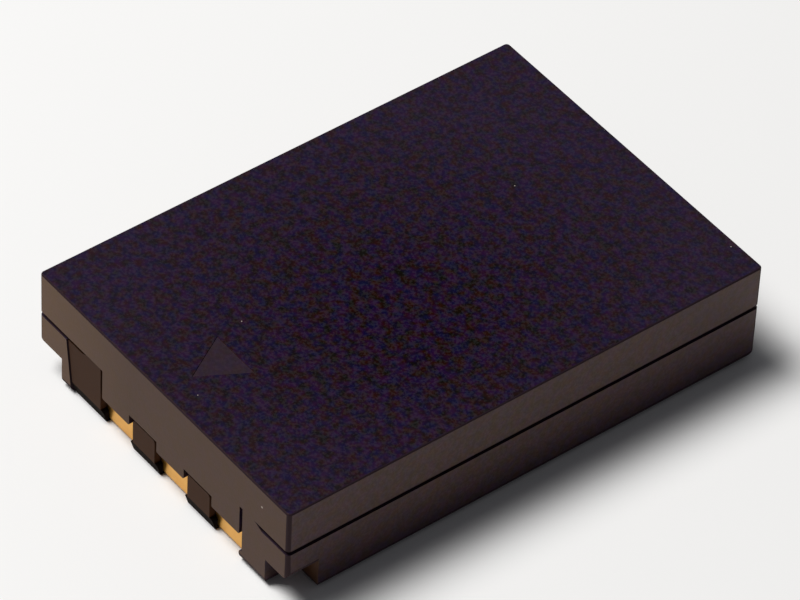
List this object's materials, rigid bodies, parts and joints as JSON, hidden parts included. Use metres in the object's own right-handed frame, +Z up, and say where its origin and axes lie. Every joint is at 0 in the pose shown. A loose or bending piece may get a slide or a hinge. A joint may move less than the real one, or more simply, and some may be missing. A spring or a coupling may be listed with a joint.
{
  "type": "camera battery",
  "caption": "Slim black rechargeable battery pack for a compact camera, with gold contacts recessed in slots at one end, corner notches and an arrow mark on top.",
  "frame": {"origin": "centre of the underside, at the bottom of the pack's box", "axes": "+X across the pack, +Y along its length away from the contact end, +Z up to the face with the arrow mark"},
  "size_m": [0.032, 0.046, 0.0098],
  "materials": {
    "case_plastic": "black polycarbonate, fine spark-eroded grain",
    "terminal_plastic": "black moulded plastic, smooth",
    "gold_plate": "gold plated, satin, rubbed where the contacts wipe",
    "board_laminate": "green lacquered glass laminate",
    "chip_epoxy": "moulded epoxy",
    "chip_ceramic": "fired ceramic with tinned ends",
    "can_aluminium": "drawn aluminium",
    "gasket_plastic": "moulded sealing plastic",
    "nickel": "rolled nickel",
    "insulating_paper": "vulcanised fibre paper",
    "fuse_plastic": "moulded plastic",
    "foam_tape": "thin double-sided foam"
  },
  "bodies": {
    "root": {"upper_case": "case_plastic", "lower_case": "case_plastic", "terminal_block": "terminal_plastic", "contact_negative": "gold_plate", "contact_sense": "gold_plate", "contact_positive": "gold_plate", "circuit_board": "board_laminate", "protection_chip": "chip_epoxy", "switch_chip": "chip_epoxy", "thermistor": "chip_ceramic", "chip_resistors": "chip_ceramic", "chip_capacitors": "chip_ceramic", "cell": "can_aluminium", "cell_gasket": "gasket_plastic", "cell_terminal": "nickel", "cap_insulator": "insulating_paper", "positive_strip": "nickel", "negative_strip": "nickel", "thermal_fuse": "fuse_plastic", "fuse_strip": "nickel", "upper_tape": "foam_tape", "lower_tape": "foam_tape"}
  },
  "joints": []
}
